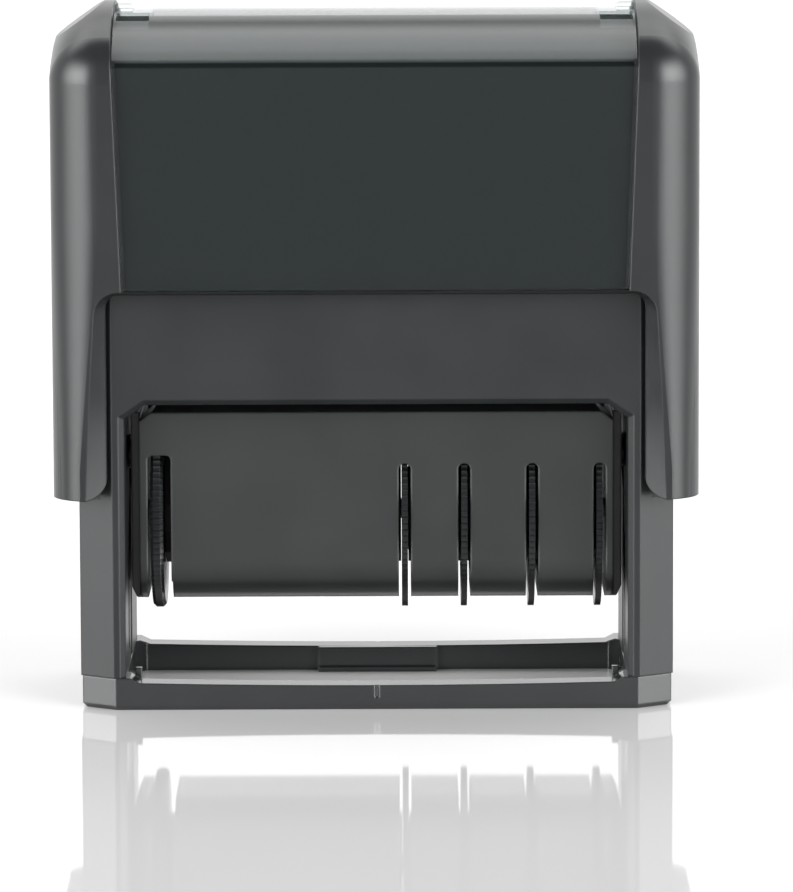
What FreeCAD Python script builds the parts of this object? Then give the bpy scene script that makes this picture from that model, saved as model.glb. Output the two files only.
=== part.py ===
"""Self-inking date stamp, one closed solid for each piece, in millimetres.

The origin is the middle of the base, on the surface that the stamp stands on.
+Z is up and the front faces -Y. Everything is drawn at rest: the cap is up, and the
wheel box hangs with its print face turned up against the ink pad.
"""
import FreeCAD
import Part
import math
import os
from FreeCAD import Vector

# Fits between pieces
slide_clearance = 0.3       # cap over frame, side to side
slide_clearance_y = 0.35    # cap over frame, front to back
running_clearance = 0.06    # radial, pin in its hole and wheel on its axle
seat_clearance = 0.05       # pieces that clip together and stay together
guide_clearance = 0.15      # pin, lug and arm in their slots
hair_gap = 0.02             # faces that lie on each other
cut_margin = 1.0            # how far a cutting shape reaches past what it cuts

# Frame: two double-walled legs, a front panel and the deck over the pad
frame_half_width = 29.1
frame_half_depth = 13.0
frame_rim = 4.35            # frame's top above the deck
corner_across = 3.3         # corner facet of frame and base ring, along X
corner_along = 2.2          # the same facet, along Y
leg_inner_wall = 1.0
leg_pocket = 1.4            # room for a yoke arm inside a leg
leg_outer_wall = 2.1
panel_wall = 1.2
deck_wall = 1.4
opening_corner_across = 2.1
opening_corner_up = 1.4
opening_edge = 0.55
spring_boss_height = 1.6
spring_boss_rib = 0.8        # half width of the two crossed ribs inside the spring

# Base ring
ring_height = 3.2           # at the four corners, under the legs
rail_height = 2.45          # front and rear rails, at their middle
rail_crown = 0.28           # how much a rail rises towards its ends
rail_depth = 2.8
rail_end_gap = 0.4          # rail's end to the legs' inner faces
ring_step_width = 1.0       # slope from the rail up to the corner block
ring_gusset = 1.1
corner_post_half = 0.33     # posts at the window's front corners
corner_post_height = 3.85
corner_post_inset = 1.15    # post's middle to the leg's side of the window
foot_chamfer = 0.45
mark_width = 0.5            # centre marks on the rails
mark_height = 1.2
rear_lug_width = 12.0
rear_lug_depth = 0.8
rear_lug_lip = 0.5
peg_half = 1.1
peg_height = 2.2
peg_from_end = 4.5

# Print mechanism
pad_underside = 30.1
pad_gap = 0.3               # print face to pad, at rest
floor_gap = 0.1             # print face to the paper, cap pressed
axis_to_print = 6.0         # pivot pins to print face
pin_radius = 1.5
lug_radius = 1.2
lug_spacing = 5.0           # pivot pin to cam lug
cam_arcs = 4                # arcs in each side of the cam slot

# Wheel box
box_end_gap = 1.3           # box end to the leg's inner face
box_half_depth = 9.0
box_wall = 1.0
box_mouth_drop = 0.4        # print face to the rim of the box's mouth
box_shoulder_drop = 0.85    # print face to the box's long upper edges
box_mouth_half = 4.6
box_height = 18.9           # long upper edges to the bottom
box_bend = 4.0
box_corner_across = 1.2     # upper corners of the box seen from the front, along X
box_corner_up = 0.9         # and along Z
box_foot_across = 0.6       # lower corners of its end flanges, along X
box_foot_up = 1.25          # and along Z
end_plate = 0.65
flange_side_gap = 0.4       # end flange to the leg's inner face
flange_half_depth = 6.5
flange_top_drop = 0.25      # end flanges below the box's long upper edges

# Axle, finger wheels and bands
axle_radius = 1.0
axle_below_pins = 5.7
wheel_radius = 9.75
date_wheel_width = 0.6
phrase_wheel_width = 1.25
phrase_wheel_bevel = 0.3
wheel_teeth = 96
tooth_depth = 0.36
wheel_end_gap = 0.4         # outermost wheels to the end plates
day_wheel_spacing = 5.86    # between the two day wheels
month_wheel_spacing = 6.67  # day units to month
year_wheel_spacing = 6.63   # month to year
hub_radius = 4.4
hub_flats = 12              # flats that grip the band
band_thickness = 0.9
band_side_gap = 0.06
nose_half = 1.5             # flat of the type bridge, each side of the middle
nose_radius = 0.7
bridge_height = 2.5
bridge_clearance = 0.22     # finger wheels to the notches of the bridge
date_slot = 1.19
date_slot_gap = 0.13        # slot top over the wheel's rim where it enters the wall
phrase_slot = 2.26
phrase_slot_shift = 0.28
phrase_slot_gap = 1.03
phrase_slot_corner = 0.5
slot_flare = 0.12           # the phrase wheel's slot opens out a little
slot_flare_below = 6.0      # from this far under the axle

# Ink pad cartridge
tray_height = 7.8
tray_side_gap = 0.3
tray_wall = 1.2
tray_front_gap = 0.3
tray_rail = 0.6
tray_rail_height = 1.2
tray_rail_rise = 3.0
grip_ribs = 7
grip_rib_pitch = 1.6
grip_rib_depth = 0.5
pad_proud = 0.2             # pad under the tray's rim
pad_side = 2.0              # tray rim round the pad

# Cap
cap_wall = 1.95
wing_wall = 2.2
wing_floor_gap = 3.3        # wings to the table, cap pressed
panel_show = 10.85          # frame's front panel seen under the cap's lip
lip_chamfer = 0.45
lip_round = 1.2             # corner between lip and wing on the inner face, twice that outside
cap_corner_radius = 4.8
cap_inner_corner = 2.5
shoulder_run = 4.95         # top corner bevel, along X
shoulder_drop = 3.55        # and along Z
wing_bevel_in = 2.9         # wing's inner face to the frame's side face
wing_bevel_top = 1.15       # width of the wing's inner bevel under the lip
wing_bevel_bottom = 2.5     # and at the wing's bottom
bevel_over = 0.4            # how far the bevel is cut past the wall, as a share of it
wing_toe = 2.0              # round corner at the wing's inner bottom
finger_step = 0.12
finger_step_rise = 12.3     # top of the step above the wing's bottom
finger_step_half = 10.0

# Window cover and index card
cover_wall = 0.8
card_thickness = 0.2
cover_inset = 0.15          # cover below the cap's front face
cover_below_crest = 0.8
arch_rise = 4.4             # cover's crest above its front and rear edges
arch_edge_round = 0.9
lip_height = 0.5            # cap's lip under the cover
cover_half_bottom = 24.5
cover_half_top = 25.5       # at the crest
cover_side_gap = 0.12
cap_roof = 1.2
cover_tab_width = 1.7
cover_tab_half = 2.6
cover_tab_height = 0.7
clip_slot_width = 3.2       # slots through the cover's top, one at each corner
clip_slot_from = 3.6        # nearest and farthest from the crest
clip_slot_to = 6.8
clip_slot_side = 0.25       # slot to the cover's end

# Yoke and spring
arm_half_width = 2.8
yoke_roof_gap = 0.6         # yoke's top to the cap's roof over the spring seat's edge
yoke_bar = 1.4
spring_seat_half = 7.2
post_half = 2.0             # posts that carry the yoke in the cap
post_half_spacing = 17.0
wire_radius = 0.4
wire_sides = 4              # the hidden spring is drawn plainly: flats round its wire
turn_runs = 12              # and straight runs in each turn
spring_radius = 5.6
spring_turns = 5
spring_end_ease = 0.65

# Lock buttons
button_half_width = 3.4
button_half_height = 2.4
button_rise = 6.2           # button's middle above the wing's bottom
button_recess = 0.25
button_flange = 0.5
button_flange_wall = 0.5
button_stroke = 0.7
button_stem_half = 1.0
button_gap = 0.15
channel_depth = 1.0
channel_gap = 0.5
detent_drop = 2.6           # cap travel at which the buttons lock
detent_depth = 0.6

# Heights and widths that follow from the sizes above
print_rest = pad_underside - pad_gap
pivot_rest = print_rest - axis_to_print
pivot_pressed = floor_gap + axis_to_print
travel = pivot_rest - pivot_pressed
opening_top = pad_underside + seat_clearance
opening_half = frame_half_width - leg_inner_wall - leg_pocket - leg_outer_wall
pocket_inner = opening_half + leg_inner_wall
pocket_outer = pocket_inner + leg_pocket
tray_bottom = pad_underside + pad_proud
tray_top = tray_bottom + tray_height
chamber_top = tray_top + tray_side_gap
deck_top = chamber_top + deck_wall
tray_half = opening_half - 2 * tray_side_gap - tray_rail
box_half_width = opening_half - box_end_gap
axle_z = pivot_rest - axle_below_pins
rim_in_wall = math.sqrt(wheel_radius ** 2 - (box_half_depth - box_wall) ** 2)
box_top = print_rest - box_shoulder_drop
box_bottom = box_top - box_height
cap_half_width = frame_half_width + slide_clearance + wing_wall
cap_half_depth = frame_half_depth + slide_clearance_y + cap_wall
cavity_half_width = frame_half_width + slide_clearance
cavity_half_depth = frame_half_depth + slide_clearance_y
cover_half_depth = cap_half_depth - cover_inset
ring_window_y = frame_half_depth - rail_depth
seat_inset = cover_wall + card_thickness + hair_gap
frame_top = deck_top + frame_rim
arch_radius = (cover_half_depth ** 2 + arch_rise ** 2) / (2 * arch_rise)
ceiling_edge = frame_top + travel + slide_clearance
ceiling_radius = arch_radius - seat_inset - cap_roof
arch_centre = ceiling_edge - math.sqrt(ceiling_radius ** 2 - cavity_half_depth ** 2)
ceiling_crest = arch_centre + ceiling_radius
cover_crest = arch_centre + arch_radius
cap_crest = cover_crest + cover_below_crest
cap_lip = opening_top + panel_show
cover_bottom = cap_lip + lip_height
wing_bottom = travel + wing_floor_gap
finger_step_top = wing_bottom + finger_step_rise
button_z = wing_bottom + button_rise


def arch_height(half_depth, inset, crest_raise=0.0):
    """Height of the cap's arched top where it meets a wall at half_depth."""
    radius = arch_radius - inset + crest_raise
    return arch_centre + math.sqrt(radius ** 2 - half_depth ** 2)


yoke_top = arch_height(spring_seat_half, seat_inset + cap_roof) - yoke_roof_gap


def box(x0, x1, y0, y1, z0, z1):
    """Block between two corners."""
    return Part.makeBox(x1 - x0, y1 - y0, z1 - z0, Vector(x0, y0, z0))


def rod_x(radius, x0, x1, y, z):
    """Cylinder along X."""
    return Part.makeCylinder(radius, x1 - x0, Vector(x0, y, z), Vector(1, 0, 0))


def post(half, x, y, z0, z1):
    """Square post standing up."""
    return box(x - half, x + half, y - half, y + half, z0, z1)


def prism(points, along):
    """Flat polygon pushed along a vector."""
    return Part.Face(Part.makePolygon(points + [points[0]])).extrude(along)


def from_edges(edges, along):
    """Closed run of edges pushed along a vector."""
    return Part.Face(Part.Wire(edges)).extrude(along)


def line(start, end):
    """Straight edge."""
    return Part.LineSegment(start, end).toShape()


def arc(start, middle, end):
    """Round edge through three points."""
    return Part.Arc(start, middle, end).toShape()


def mirrored(shape):
    """The same shape on the other side of the stamp's middle."""
    return shape.mirror(Vector(0, 0, 0), Vector(1, 0, 0))


def runs_along(edge, axis):
    """Whether an edge is parallel to an axis."""
    return edge.tangentAt(edge.FirstParameter).cross(axis).Length < hair_gap


def both_sides(shape):
    """A shape and its mirror image."""
    return shape.fuse(mirrored(shape))


def front_and_rear(shape):
    """A shape and its image behind the stamp's middle."""
    return shape.fuse(shape.mirror(Vector(0, 0, 0), Vector(0, 1, 0)))


def faceted_plan(half_width, half_depth, z0, z1):
    """Rectangle with the frame's corner facets, standing up."""
    inner_x = half_width - corner_across
    inner_y = half_depth - corner_along
    quarter = [(half_width, inner_y), (inner_x, half_depth)]
    plan = quarter + [(-x, y) for x, y in reversed(quarter)]
    plan = plan + [(-x, -y) for x, y in plan]
    return prism([Vector(x, y, z0) for x, y in plan], Vector(0, 0, z1 - z0))


def rounded_plan(half_width, half_depth, radius, z0, z1):
    """Rectangle with round corners, standing up."""
    block = box(-half_width, half_width, -half_depth, half_depth, z0, z1)
    upright = [edge for edge in block.Edges if runs_along(edge, Vector(0, 0, 1))]
    return block.makeFillet(radius, upright)


def arched(half_depth, inset, half_length, z0, crest_raise=0.0):
    """Bar along X whose top is the cap's arch, set in from the cover's outer face."""
    edge_z = arch_height(half_depth, inset, crest_raise)
    crest = cover_crest - inset + crest_raise
    x0 = -half_length
    edges = [
        line(Vector(x0, half_depth, z0), Vector(x0, half_depth, edge_z)),
        arc(Vector(x0, half_depth, edge_z), Vector(x0, 0, crest), Vector(x0, -half_depth, edge_z)),
        line(Vector(x0, -half_depth, edge_z), Vector(x0, -half_depth, z0)),
        line(Vector(x0, -half_depth, z0), Vector(x0, half_depth, z0)),
    ]
    return from_edges(edges, Vector(2 * half_length, 0, 0))


def round_long_edges(solid, radius, height):
    """Rounds the two long edges along X that lie near a height."""
    chosen = []
    for edge in solid.Edges:
        middle = edge.CenterOfMass
        at_height = abs(middle.z - height) < hair_gap
        if at_height and abs(middle.y) > hair_gap and runs_along(edge, Vector(1, 0, 0)):
            chosen.append(edge)
    return solid.makeFillet(radius, chosen)


def opening_outline(grow, y):
    """Outline of the frame's front and rear openings, grown outwards."""
    side = opening_half + grow
    top = opening_top + grow
    low = ring_height - cut_margin
    slant = math.hypot(opening_corner_across, opening_corner_up)
    spread = grow * (opening_corner_across + opening_corner_up - slant)
    across = opening_corner_across + spread / opening_corner_up
    up = opening_corner_up + spread / opening_corner_across
    points = [(side, low), (side, top - up), (side - across, top), (across - side, top),
              (-side, top - up), (-side, low)]
    corners = [Vector(x, y, z) for x, z in points]
    return Part.makePolygon(corners + [corners[0]])


def leg_opening():
    """Way through the frame, with a bevel round its front and rear edges."""
    reach = frame_half_depth + cut_margin
    through = Part.Face(opening_outline(0, -reach)).extrude(Vector(0, 2 * reach, 0))
    bevel = Part.makeLoft([opening_outline(2 * opening_edge, -frame_half_depth - opening_edge),
                           opening_outline(0, -frame_half_depth + opening_edge)], True, True)
    return through.fuse(front_and_rear(bevel))


def cam_point(turn, side):
    """Middle or edge of the cam slot when the box has turned by this much."""
    drop = travel * turn / math.pi
    y = lug_spacing * math.cos(turn)
    z = pivot_rest - drop + lug_spacing * math.sin(turn)
    dy = -lug_spacing * math.sin(turn)
    dz = -travel / math.pi + lug_spacing * math.cos(turn)
    size = math.hypot(dy, dz)
    return y - side * dz / size, z + side * dy / size


def cam_side(x, side):
    """One side of the cam slot: arcs through points of the lug's path."""
    ends = [math.pi * step / cam_arcs for step in range(cam_arcs + 1)]
    edges = []
    for turn, after in zip(ends, ends[1:]):
        places = [Vector(x, *cam_point(at, side)) for at in (turn, (turn + after) / 2, after)]
        edges.append(arc(*places))
    return edges


def cam_slot(x0, x1):
    """Slot that turns the wheel box over as the cap goes down."""
    half = lug_radius + guide_clearance
    edges = cam_side(x0, half) + cam_side(x0, -half)
    for turn in (0, math.pi):
        edges.append(line(Vector(x0, *cam_point(turn, half)), Vector(x0, *cam_point(turn, -half))))
    track = from_edges(Part.sortEdges(edges)[0], Vector(x1 - x0, 0, 0))
    for turn in (0, math.pi):
        y, z = cam_point(turn, 0)
        track = track.fuse(rod_x(half, x0, x1, y, z))
    return track


def pin_slot(x0, x1):
    """Upright slot for a pivot pin, open at the leg's foot."""
    half = pin_radius + guide_clearance
    slot = box(x0, x1, -half, half, ring_height - cut_margin, pivot_rest)
    return slot.fuse(rod_x(half, x0, x1, 0, pivot_rest))


def pad_chamber():
    """Room for the ink pad cartridge, open at the rear."""
    half = tray_half + tray_side_gap
    front = -frame_half_depth + panel_wall
    rear = frame_half_depth + cut_margin
    room = box(-half, half, front, rear, opening_top - hair_gap, chamber_top)
    groove_z = tray_bottom + tray_rail_rise
    groove = box(-half - tray_rail, half + tray_rail, front, rear, groove_z - guide_clearance,
                 groove_z + tray_rail_height + guide_clearance)
    return room.fuse(groove)


def lock_channel():
    """Groove in the leg's side face where the button's stem runs, with its locking hole."""
    half = button_stem_half + channel_gap
    floor_x = frame_half_width - channel_depth
    groove = box(floor_x, frame_half_width + cut_margin, -half, half, ring_height - cut_margin,
                 button_z + half)
    snug = button_stem_half + guide_clearance
    hole_z = button_z - detent_drop
    hole = box(floor_x - detent_depth, floor_x + cut_margin, -snug, snug, hole_z - snug, hole_z + snug)
    return groove.fuse(hole)


def peg_places():
    """Where the base ring's pegs enter the legs."""
    x = (opening_half + frame_half_width) / 2
    y = frame_half_depth - peg_from_end
    return [(sx * x, sy * y) for sx in (-1, 1) for sy in (-1, 1)]


def spring_boss(z0, z1):
    """Two crossed ribs that keep the spring in its place."""
    reach = spring_radius - wire_radius - 2 * guide_clearance
    rib = box(-reach, reach, -spring_boss_rib, spring_boss_rib, z0, z1)
    return rib.fuse(box(-spring_boss_rib, spring_boss_rib, -reach, reach, z0, z1))


def make_frame():
    """Moulded frame."""
    frame = faceted_plan(frame_half_width, frame_half_depth, ring_height, frame_top)
    well_half_depth = frame_half_depth - panel_wall
    low = ring_height - cut_margin
    high = frame_top + cut_margin
    cuts = [
        leg_opening(),
        pad_chamber(),
        box(-opening_half, opening_half, -well_half_depth, well_half_depth, deck_top, high),
    ]
    pocket_half = arm_half_width + guide_clearance
    for side in (-1, 1):
        ends = sorted([side * pocket_inner, side * pocket_outer])
        cuts.append(box(ends[0], ends[1], -pocket_half, pocket_half, low, high))
        wall = sorted([side * (opening_half - hair_gap), side * (pocket_inner + hair_gap)])
        cuts.append(pin_slot(wall[0], wall[1]))
        cuts.append(cam_slot(wall[0], wall[1]))
    cuts.append(both_sides(lock_channel()))
    for x, y in peg_places():
        cuts.append(post(peg_half + seat_clearance, x, y, low,
                         ring_height + peg_height + seat_clearance))
    for cut in cuts:
        frame = frame.cut(cut)
    return frame.fuse(spring_boss(deck_top - hair_gap, deck_top + spring_boss_height)).removeSplitter()


def rail_profile():
    """Space over the rails: a shallow arc with a slope at each end, pushed along Y."""
    flat_end = opening_half - rail_end_gap
    slope_end = flat_end - ring_step_width
    end_z = rail_height + rail_crown
    y = -frame_half_depth - cut_margin
    points = [(flat_end, ring_height + hair_gap), (slope_end, end_z)]
    edges = [
        line(Vector(points[0][0], y, points[0][1]), Vector(points[1][0], y, points[1][1])),
        arc(Vector(slope_end, y, end_z), Vector(0, y, rail_height), Vector(-slope_end, y, end_z)),
        line(Vector(-slope_end, y, end_z), Vector(-flat_end, y, points[0][1])),
        line(Vector(-flat_end, y, points[0][1]), Vector(flat_end, y, points[0][1])),
    ]
    return from_edges(edges, Vector(0, -2 * y, 0))


def ring_window():
    """Window in the base ring, with its corners cut off."""
    quarter = [(opening_half, ring_window_y - ring_gusset),
               (opening_half - ring_gusset, ring_window_y)]
    plan = quarter + [(-x, y) for x, y in reversed(quarter)]
    plan = plan + [(-x, -y) for x, y in plan]
    return prism([Vector(x, y, -cut_margin) for x, y in plan],
                 Vector(0, 0, ring_height + 2 * cut_margin))


def centre_mark():
    """Notch in the front rail that shows the middle of the print."""
    half = mark_width / 2
    y = -frame_half_depth - hair_gap
    low = rail_height - mark_height
    corners = [Vector(-half, y, low), Vector(half, y, low), Vector(0, y + half, low)]
    return prism(corners, Vector(0, 0, mark_height + cut_margin))


def make_base_ring():
    """Foot ring under the legs, with the window that the print comes down through."""
    half_width = frame_half_width - guide_clearance
    ring = faceted_plan(half_width, frame_half_depth, 0, ring_height)
    bottom_edges = [edge for edge in ring.Edges if edge.BoundBox.ZMax < hair_gap]
    ring = ring.makeChamfer(foot_chamfer, bottom_edges)
    ring = ring.cut(ring_window()).cut(rail_profile())
    lug_half = rear_lug_width / 2
    lug_y = ring_window_y - rear_lug_depth
    ring = ring.fuse(box(-lug_half, lug_half, lug_y, ring_window_y + hair_gap, 0, rail_height))
    ring = ring.fuse(box(-lug_half, lug_half, lug_y - rear_lug_lip, lug_y + hair_gap, 0, rear_lug_lip))
    ring = ring.cut(front_and_rear(centre_mark()))
    for x, y in peg_places():
        ring = ring.fuse(post(peg_half, x, y, ring_height / 2, ring_height + peg_height))
    corner_x = opening_half - corner_post_inset
    ring = ring.fuse(both_sides(post(corner_post_half, corner_x, -ring_window_y, 0, corner_post_height)))
    return ring.removeSplitter()


def box_outline(inset, x0, x1):
    """Section of the wheel box, set in from its outer faces, pushed along X."""
    half = box_half_depth - inset
    mouth_z = print_rest - box_mouth_drop - inset
    edge_z = box_top - inset
    low = box_bottom + inset
    bend = box_bend - inset
    middle = bend * (1 - math.sqrt(0.5))

    def at(y, z):
        return Vector(x0, y, z)

    edges = [
        line(at(-box_mouth_half, mouth_z), at(box_mouth_half, mouth_z)),
        line(at(box_mouth_half, mouth_z), at(half, edge_z)),
        line(at(half, edge_z), at(half, low + bend)),
        arc(at(half, low + bend), at(half - middle, low + middle), at(half - bend, low)),
        line(at(half - bend, low), at(bend - half, low)),
        arc(at(bend - half, low), at(middle - half, low + middle), at(-half, low + bend)),
        line(at(-half, low + bend), at(-half, edge_z)),
        line(at(-half, edge_z), at(-box_mouth_half, mouth_z)),
    ]
    return from_edges(edges, Vector(x1 - x0, 0, 0))


def wheel_places():
    """Middle of each finger wheel along X, worked inwards from the end plates."""
    inner_end = box_half_width - end_plate - wheel_end_gap
    year = inner_end - date_wheel_width / 2
    month = year - year_wheel_spacing
    day_units = month - month_wheel_spacing
    day_tens = day_units - day_wheel_spacing
    return {"phrase": phrase_wheel_width / 2 - inner_end, "day_tens": day_tens,
            "day_units": day_units, "month": month, "year": year}


def wheel_width(name):
    """Thickness of a finger wheel."""
    return phrase_wheel_width if name == "phrase" else date_wheel_width


def band_spans():
    """Left and right edge of each band, beside the wheel that turns it."""
    places = wheel_places()
    left = {name: places[name] - wheel_width(name) / 2 for name in places}
    right = {name: places[name] + wheel_width(name) / 2 for name in places}
    between_days = (right["day_tens"] + left["day_units"]) / 2
    spans = {"phrase": (right["phrase"], left["day_tens"]),
             "day_tens": (right["day_tens"], between_days),
             "day_units": (between_days, left["day_units"]),
             "month": (right["day_units"], left["month"]),
             "year": (right["month"], left["year"])}
    return {name: (x0 + band_side_gap, x1 - band_side_gap) for name, (x0, x1) in spans.items()}


def wheel_slot(name):
    """Slot round the box for one finger wheel: up the front, under and up the back."""
    middle = wheel_places()[name]
    reach = box_half_depth + cut_margin
    low = box_bottom - cut_margin
    if name == "phrase":
        middle = middle + phrase_slot_shift
        half = phrase_slot / 2
        corner = phrase_slot_corner
        top = axle_z + rim_in_wall + phrase_slot_gap
    else:
        half = date_slot / 2
        corner = half - hair_gap
        top = axle_z + rim_in_wall + date_slot_gap
    slot = box(middle - half, middle + half, -reach, reach, low, top)
    upper = [edge for edge in slot.Edges if edge.BoundBox.ZMin > top - hair_gap
             and runs_along(edge, Vector(0, 1, 0))]
    slot = slot.makeFillet(corner, upper)
    if name == "phrase":
        wide = half + slot_flare
        slot = slot.fuse(box(middle - wide, middle + wide, -reach, reach, low,
                             axle_z - slot_flare_below))
    return slot


def end_wedge(x, z, across, up):
    """Wedge over a corner at x and z, from across on its edge to up on its end."""
    reach = box_half_depth + cut_margin
    over_z = cut_margin * up / across
    corner = Vector(x + cut_margin, -reach, z + over_z)
    to_edge = Vector(-across - 2 * cut_margin, 0, 0)
    to_end = Vector(0, 0, -up - 2 * over_z)
    return prism([corner, corner + to_edge, corner + to_end], Vector(0, 2 * reach, 0))


def make_wheel_box():
    """Housing round the wheels, open at its mouth and slotted for the finger wheels."""
    shell = box_outline(0, -box_half_width, box_half_width)
    reach = box_half_width + cut_margin
    shell = shell.cut(box_outline(box_wall, -reach, reach))
    mouth_x = box_half_width - end_plate
    mouth = nose_half + nose_radius + band_thickness + guide_clearance * 2
    shell = shell.cut(box(-mouth_x, mouth_x, -mouth, mouth, box_top - box_wall, print_rest))
    for name in wheel_places():
        shell = shell.cut(wheel_slot(name))
    corner = end_wedge(box_half_width, box_top, box_corner_across, box_corner_up)
    return shell.cut(both_sides(corner)).removeSplitter()


def make_end_plate(side):
    """End of the wheel box with its flange, pivot pin and cam lug."""
    inner_x = box_half_width - end_plate
    wall_x = box_half_width + hair_gap
    flange_x = opening_half - flange_side_gap
    plate = box_outline(box_wall + seat_clearance, inner_x, wall_x)
    plate = plate.cut(end_wedge(box_half_width, box_top, box_corner_across, box_corner_up))
    flange = box_outline(0, wall_x, flange_x)
    flange = flange.common(box(wall_x, flange_x, -flange_half_depth, flange_half_depth,
                               box_bottom, box_top - flange_top_drop))
    flange = flange.cut(end_wedge(flange_x, box_bottom, box_foot_across, -box_foot_up))
    plate = plate.fuse(flange)
    pin_end = pocket_outer - guide_clearance
    plate = plate.fuse(rod_x(pin_radius, wall_x, pin_end, 0, pivot_rest))
    plate = plate.fuse(rod_x(lug_radius, wall_x, pocket_inner - guide_clearance, lug_spacing, pivot_rest))
    plate = plate.cut(rod_x(axle_radius + hair_gap, inner_x - cut_margin, box_half_width - hair_gap,
                            0, axle_z))
    return plate if side > 0 else mirrored(plate)


def loop_outline(offset, x0, x1):
    """Path of a band round its hub and the type bridge, grown by offset, pushed along X."""
    nose_z = print_rest - band_thickness - nose_radius
    big = hub_radius + offset
    small = nose_radius + offset
    across = Vector(0, nose_half, nose_z - axle_z)
    lean = math.acos((big - small) / across.Length)
    heading = math.atan2(across.z, across.y) - lean
    out = Vector(0, math.cos(heading), math.sin(heading))
    back = Vector(0, -out.y, out.z)
    hub = Vector(x0, 0, axle_z)
    right = Vector(x0, nose_half, nose_z)
    left = Vector(x0, -nose_half, nose_z)
    up = Vector(0, 0, small)
    half_way = (out + Vector(0, 0, 1)).normalize()
    half_back = Vector(0, -half_way.y, half_way.z)
    under = math.pi / 2 + math.atan2(out.z, out.y)
    flats = math.ceil(under * hub_flats / math.pi)
    turns = [under * (2 * step / flats - 1) for step in range(flats + 1)]
    round_hub = [hub + Vector(0, math.sin(turn), -math.cos(turn)) * big for turn in turns]
    edges = [line(start, end) for start, end in zip(round_hub, round_hub[1:])]
    edges += [
        line(hub + out * big, right + out * small),
        arc(right + out * small, right + half_way * small, right + up),
        line(right + up, left + up),
        arc(left + up, left + half_back * small, left + back * small),
        line(left + back * small, hub + back * big),
    ]
    return from_edges(edges, Vector(x1 - x0, 0, 0))


def make_band(name):
    """Rubber band that carries the type."""
    x0, x1 = band_spans()[name]
    inner = loop_outline(0, x0 - cut_margin, x1 + cut_margin)
    return loop_outline(band_thickness, x0, x1).cut(inner)


def make_type_bridge():
    """Bar under the bands' printing stretch, notched over the finger wheels."""
    inner_x = box_half_width - end_plate
    half = nose_half + nose_radius - hair_gap
    top = print_rest - band_thickness - hair_gap
    bar = box(-inner_x, inner_x, -half, half, top - bridge_height, top)
    long_edges = [edge for edge in bar.Edges if edge.BoundBox.ZMin > top - hair_gap
                  and runs_along(edge, Vector(1, 0, 0))]
    bar = bar.makeFillet(nose_radius, long_edges)
    for name, x in wheel_places().items():
        half_notch = wheel_width(name) / 2 + bridge_clearance
        bar = bar.cut(rod_x(wheel_radius + bridge_clearance, x - half_notch, x + half_notch,
                            0, axle_z))
    return bar


def toothed_rim(radius, x):
    """Outline of a wheel with a fine V-cut edge."""
    points = []
    for step in range(2 * wheel_teeth):
        reach = radius if step % 2 == 0 else radius - tooth_depth
        angle = math.pi * step / wheel_teeth
        points.append(Vector(x, reach * math.sin(angle), axle_z - reach * math.cos(angle)))
    return Part.makePolygon(points + [points[0]])


def toothed_disc(x0, x1, bevel):
    """Wheel with a fine V-cut edge, bevelled on both sides where bevel isn't zero."""
    if bevel == 0:
        return Part.Face(toothed_rim(wheel_radius, x0)).extrude(Vector(x1 - x0, 0, 0))
    return Part.makeLoft([toothed_rim(wheel_radius - bevel, x0), toothed_rim(wheel_radius, x0 + bevel),
                          toothed_rim(wheel_radius, x1 - bevel), toothed_rim(wheel_radius - bevel, x1)],
                         True, True)


def flat_sided_hub(x0, x1):
    """Hub with flats all round, so that its band doesn't slip."""
    reach = hub_radius * math.cos(math.pi / hub_flats) - running_clearance
    turns = [2 * math.pi * step / hub_flats for step in range(hub_flats)]
    corners = [Vector(x0, reach * math.sin(turn), axle_z + reach * math.cos(turn)) for turn in turns]
    return prism(corners, Vector(x1 - x0, 0, 0))


def make_wheel(name):
    """Finger wheel with the hub that its band runs on."""
    x = wheel_places()[name]
    half = wheel_width(name) / 2
    wheel = toothed_disc(x - half, x + half, phrase_wheel_bevel if name == "phrase" else 0)
    x0, x1 = band_spans()[name]
    hub_from = min(x, x0)
    hub_to = max(x, x1)
    wheel = wheel.fuse(flat_sided_hub(hub_from, hub_to))
    bore = rod_x(axle_radius + running_clearance, hub_from - cut_margin, hub_to + cut_margin,
                 0, axle_z)
    return wheel.cut(bore)


def make_wheel_axle():
    """Steel rod through all five wheels."""
    end = box_half_width - 2 * hair_gap
    return rod_x(axle_radius, -end, end, 0, axle_z)


def make_pad_tray():
    """Ink pad cartridge: a tray turned upside down, with runners and a grip."""
    front = -frame_half_depth + panel_wall + tray_front_gap
    rear = frame_half_depth
    tray = box(-tray_half, tray_half, front, rear, tray_bottom, tray_top)
    rail_z = tray_bottom + tray_rail_rise
    tray = tray.fuse(box(-tray_half - tray_rail, tray_half + tray_rail, front, rear - tray_wall,
                         rail_z, rail_z + tray_rail_height))
    hollow = box(-tray_half + tray_wall, tray_half - tray_wall, front + tray_wall,
                 rear - tray_wall - pad_side, tray_bottom - cut_margin, tray_top - tray_wall)
    tray = tray.cut(hollow)
    for step in range(grip_ribs):
        x = (step - (grip_ribs - 1) / 2) * grip_rib_pitch
        half = grip_rib_pitch / 4
        tray = tray.cut(box(x - half, x + half, rear - grip_rib_depth, rear + cut_margin,
                            tray_bottom + tray_wall, tray_top - tray_wall))
    return tray.removeSplitter()


def make_ink_pad():
    """Inked felt in the tray, a little proud of its rim."""
    front = -frame_half_depth + panel_wall + tray_front_gap + tray_wall + seat_clearance
    rear = frame_half_depth - tray_wall - pad_side - seat_clearance
    half = tray_half - tray_wall - seat_clearance
    return box(-half, half, front, rear, pad_underside, tray_top - tray_wall - hair_gap)


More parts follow.
